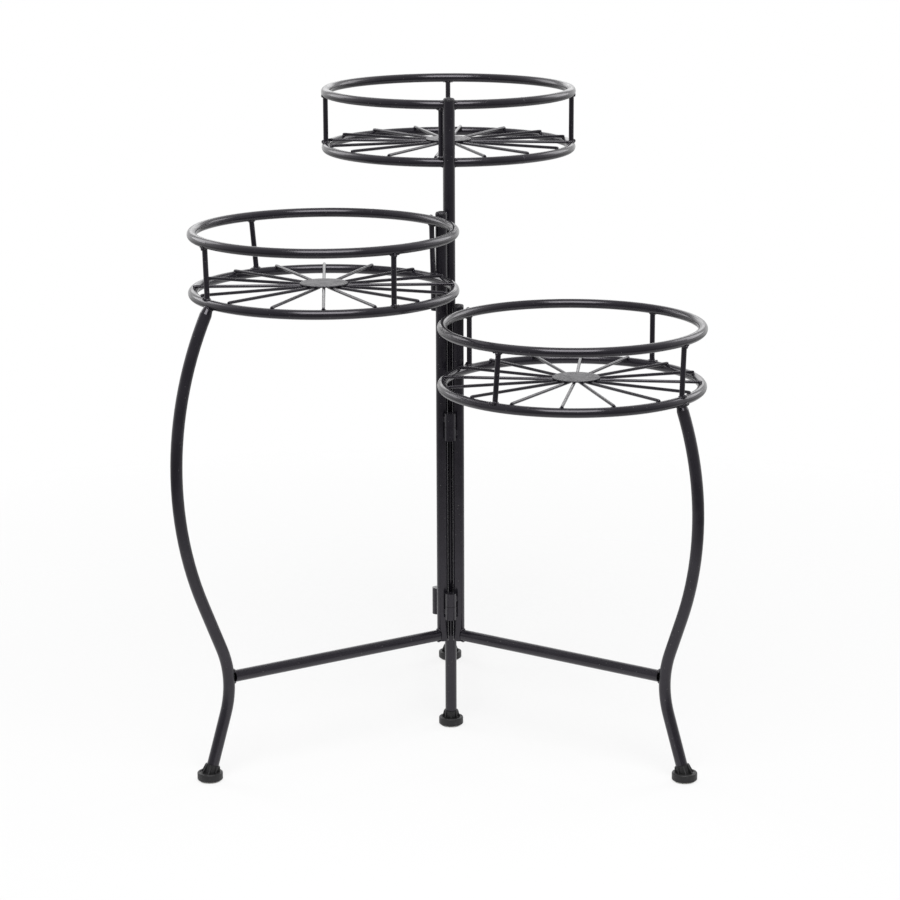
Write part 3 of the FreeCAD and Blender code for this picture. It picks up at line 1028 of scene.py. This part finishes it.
@dataclass(frozen=True)
class Studio:
    """Pale floor, even light, four soft lamps and the camera.

    Glossy rays see a graded room: its walls brighten from the front (front_glow at 0) over the
    sides (side_glow at side_share) to the back (1 from back_share on), and dim to floor_glow
    below the horizon.
    """

    floor_half: float = 14.0
    floor_colour: Colour = (0.93, 0.93, 0.93)
    floor_shade: float = 0.985
    floor_shade_scale: float = 1.5
    floor_shade_levels: Levels = (0.2, 0.8)
    floor_roughness: float = 0.9
    floor_white: float = 0.8
    fade_levels: Levels = (0.5, 1.3)
    ambient: float = 0.22
    front_glow: float = 0.3
    side_glow: float = 0.55
    side_share: float = 0.42
    back_share: float = 0.62
    floor_glow: float = 0.45
    horizon_levels: Levels = (-0.25, -0.08)
    lamp_aim: tuple[float, float, float] = (0.0, 0.0, 0.5)
    lamps: tuple[SoftLamp, ...] = (
        SoftLamp("overhead_softbox", (0.0, -1.45, 2.35), (1.7, 1.7), 62.0),
        SoftLamp("left_softbox", (-1.75, 1.3, 1.5), (1.1, 1.3), 12.0),
        SoftLamp("right_softbox", (1.75, 1.3, 1.5), (1.1, 1.3), 12.0),
        SoftLamp("back_softbox", (0.0, 3.2, 1.38), (2.4, 0.62), 5.6),
    )
    camera_place: tuple[float, float, float] = (-10.6, -2983.3, 1003.5)
    camera_pitch: float = 0.2317
    camera_yaw: float = 0.0035
    camera_roll: float = -0.0037
    lens: float = 117.94
    sensor: float = 36.0

    def build_camera(self) -> None:
        """Stand the camera where the photograph was taken from. Its place is in millimetres."""
        level, drop = math.cos(self.camera_pitch), math.sin(self.camera_pitch)
        sin_yaw, cos_yaw = math.sin(self.camera_yaw), math.cos(self.camera_yaw)
        ahead = Vector((sin_yaw * level, cos_yaw * level, -drop))
        right = Vector((cos_yaw, -sin_yaw, 0.0))
        above = right.cross(ahead)
        sin_roll, cos_roll = math.sin(self.camera_roll), math.cos(self.camera_roll)
        turned_right = right * cos_roll + above * sin_roll
        turned_up = above * cos_roll - right * sin_roll
        data = bpy.data.cameras.new("camera")
        data.lens = self.lens
        data.sensor_width = self.sensor
        data.dof.use_dof = False
        camera = bpy.data.objects.new("camera", data)
        axes = Matrix((turned_right, turned_up, -ahead)).transposed().to_4x4()
        camera.matrix_world = Matrix.Translation(Vector(self.camera_place) * MM) @ axes
        bpy.context.scene.collection.objects.link(camera)
        bpy.context.scene.camera = camera

    def build_floor(self) -> None:
        """Lay a wide pale floor that takes the stand's soft shadow."""
        half = self.floor_half
        mesh = bpy.data.meshes.new("floor")
        corners = [(-half, -half, 0.0), (half, -half, 0.0), (half, half, 0.0), (-half, half, 0.0)]
        mesh.from_pydata(corners, [], [(0, 1, 2, 3)])
        bench = NodeBench("pale_floor")
        bench.set(Specular_IOR_Level=0.0, Roughness=self.floor_roughness)
        shade = bench.remap(bench.grain(self.floor_shade_scale), self.floor_shade_levels)
        darker = tuple(level * self.floor_shade for level in self.floor_colour)
        bench.join(bench.mix(shade, self.floor_colour, darker), "Base Color")
        self.whiten(bench)
        mesh.materials.append(bench.material)
        floor = bpy.data.objects.new("floor", mesh)
        bpy.context.scene.collection.objects.link(floor)

    def whiten(self, bench: NodeBench) -> None:
        """Lift the floor towards white for the eye alone and let it fade into the backdrop.

        Args:
            bench: The floor's material.
        """
        tree = bench.tree
        output = tree.nodes["Material Output"]
        path = tree.nodes.new("ShaderNodeLightPath")
        seen = tree.nodes.new("ShaderNodeMath")
        seen.operation = "MAXIMUM"
        tree.links.new(path.outputs["Is Camera Ray"], seen.inputs[0])
        tree.links.new(path.outputs["Is Glossy Ray"], seen.inputs[1])
        share = bench.remap(seen.outputs[0], (0.0, 1.0), (0.0, self.floor_white))
        white = tree.nodes.new("ShaderNodeEmission")
        lifted = tree.nodes.new("ShaderNodeMixShader")
        tree.links.new(share, lifted.inputs["Fac"])
        tree.links.new(bench.shader.outputs["BSDF"], lifted.inputs[1])
        tree.links.new(white.outputs["Emission"], lifted.inputs[2])
        distance = tree.nodes.new("ShaderNodeVectorMath")
        distance.operation = "LENGTH"
        tree.links.new(bench.place, distance.inputs[0])
        fade = bench.remap(distance.outputs["Value"], self.fade_levels)
        clear = tree.nodes.new("ShaderNodeBsdfTransparent")
        faded = tree.nodes.new("ShaderNodeMixShader")
        tree.links.new(fade, faded.inputs["Fac"])
        tree.links.new(lifted.outputs["Shader"], faded.inputs[1])
        tree.links.new(clear.outputs["BSDF"], faded.inputs[2])
        tree.links.new(faded.outputs["Shader"], output.inputs["Surface"])

    def build_light(self) -> None:
        """Set the even light of the room and hang the lamps."""
        world = bpy.data.worlds.new("room")
        bpy.context.scene.world = world
        world.use_nodes = True
        tree = world.node_tree
        background = tree.nodes["Background"]
        background.inputs["Color"].default_value = (1.0, 1.0, 1.0, 1.0)
        path = tree.nodes.new("ShaderNodeLightPath")
        strength: bpy.types.NodeSocket | None = None
        for kind, source in (("Is Glossy Ray", self.graded_room(tree)),
                             ("Is Transmission Ray", None), ("Is Camera Ray", None)):
            choice = tree.nodes.new("ShaderNodeMix")
            tree.links.new(path.outputs[kind], choice.inputs["Factor"])
            choice.inputs["A"].default_value = self.ambient
            choice.inputs["B"].default_value = 1.0
            if strength is not None:
                tree.links.new(strength, choice.inputs["A"])
            if source is not None:
                tree.links.new(source, choice.inputs["B"])
            strength = choice.outputs["Result"]
        tree.links.new(strength, background.inputs["Strength"])
        for lamp in self.lamps:
            lamp.build(Vector(self.lamp_aim))

    def graded_room(self, tree: bpy.types.NodeTree) -> bpy.types.NodeSocket:
        """The room as glossy rays see it, by their direction.

        Args:
            tree: The world's nodes.

        Returns:
            The socket with the room's glow.
        """
        heading = tree.nodes.new("ShaderNodeTexCoord")
        parts = tree.nodes.new("ShaderNodeSeparateXYZ")
        tree.links.new(heading.outputs["Generated"], parts.inputs["Vector"])
        wall = tree.nodes.new("ShaderNodeValToRGB")
        levels = ((0.0, self.front_glow), (self.side_share, self.side_glow),
                  (self.back_share, 1.0))
        wall.color_ramp.elements.new(self.side_share)
        for element, (place, glow) in zip(wall.color_ramp.elements, levels):
            element.position = place
            element.color = (glow, glow, glow, 1.0)
        depth = tree.nodes.new("ShaderNodeMapRange")
        depth.inputs["From Min"].default_value = -1.0
        tree.links.new(parts.outputs["Y"], depth.inputs["Value"])
        tree.links.new(depth.outputs["Result"], wall.inputs["Fac"])
        below = tree.nodes.new("ShaderNodeMapRange")
        below.inputs["From Min"].default_value = self.horizon_levels[0]
        below.inputs["From Max"].default_value = self.horizon_levels[1]
        below.inputs["To Min"].default_value = self.floor_glow
        tree.links.new(parts.outputs["Z"], below.inputs["Value"])
        room = tree.nodes.new("ShaderNodeMath")
        room.operation = "MULTIPLY"
        tree.links.new(wall.outputs["Color"], room.inputs[0])
        tree.links.new(below.outputs["Result"], room.inputs[1])
        return room.outputs["Value"]

    def build(self) -> None:
        """Make the whole studio."""
        bpy.context.scene.view_settings.view_transform = "Standard"
        self.build_camera()
        self.build_floor()
        self.build_light()
        LOG.info("studio: camera, floor and %d lamps", len(self.lamps))


# ---------------------------------------------------------------- the stand


@dataclass(frozen=True)
class SectionPlan:
    """How one section differs from an even one, in degrees, and where its brace ends."""

    upright_skews: tuple[float, float, float, float]
    upright_leans: tuple[float, float, float, float]
    spoke_skew: float
    waist_reach: float


class PlantStand:
    """Dresses the frame's nodes and adds every welded detail."""

    plans: dict[Section, SectionPlan] = {
        Section.TALL: SectionPlan((0.0, 0.0, -3.6, 0.0), (0.0, 0.0, 0.0, 0.0), 5.2, 216.0 * MM),
        Section.MID: SectionPlan((-2.8, -0.7, 0.3, 1.5), (-3.5, 0.0, 2.6, 5.5), 1.8, 258.7 * MM),
        Section.LOW: SectionPlan((-0.3, -5.5, -2.3, 0.0), (3.5, 0.0, 0.0, 4.5), -4.2, 254.7 * MM),
    }
    knuckle_sections: dict[str, Section] = {
        "rear_upper_hinge_top": Section.TALL, "rear_upper_hinge_bottom": Section.MID,
        "rear_lower_hinge_top": Section.MID, "rear_lower_hinge_bottom": Section.TALL,
        "front_upper_hinge_top": Section.MID, "front_upper_hinge_bottom": Section.LOW,
        "front_lower_hinge_top": Section.LOW, "front_lower_hinge_bottom": Section.MID,
    }

    def __init__(self, frame: dict) -> None:
        """Keep the frame's nodes and make the finishes.
        """
        self.nodes: dict[str, bpy.types.Object] = frame["nodes"]
        plastic = MouldedPlastic().make()
        self.coat = PowderCoat().make()
        self.weld = CoatedWeld().make()
        self.plate = CoatedPlate().make()
        self.by_slot = {
            Slot.STEEL.value: self.coat, Slot.CAP.value: plastic, Slot.FOOT.value: plastic,
            Slot.GLIDE.value: NylonGlide().make(), Slot.PIN.value: ZincedSteel().make(),
        }

    def dress_frame(self) -> None:
        """Give every node of the frame the finish of its slot, and the discs their own."""
        for name, node in sorted(self.nodes.items()):
            for place in node.material_slots:
                place.material = self.by_slot[place.material.name.split(".")[0]]
                if name.endswith("centre_disc"):
                    place.material = self.plate
            LOG.info("%s: dressed", name)

    def build(self) -> None:
        """Dress the frame and build each section's and each hinge's details."""
        self.dress_frame()
        baskets = {}
        for section, plan in self.plans.items():
            basket = Basket(section, plan.upright_skews, plan.upright_leans, plan.spoke_skew)
            baskets[section] = basket
            RingWelds(basket).build(self.weld)
            UprightWelds(basket).build(self.weld)
            Spokes(basket).build(self.coat)
            SpokeWelds(basket).build(self.weld)
            LegWelds(basket, plan.waist_reach).build(self.weld)
        for name, section in self.knuckle_sections.items():
            HingeWelds(f"{name}_knuckle", baskets[section]).build(self.weld)


def main() -> None:
    """Load the frame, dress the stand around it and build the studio."""
    logging.basicConfig(level=logging.INFO, format="%(name)s: %(message)s")
    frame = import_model()
    kept = set(frame["nodes"].values()) | set(frame["bodies"].values())
    for item in [item for item in bpy.data.objects if item not in kept]:
        bpy.data.objects.remove(item)
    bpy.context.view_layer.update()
    PlantStand(frame).build()
    Studio().build()


if __name__ == "__main__":
    main()
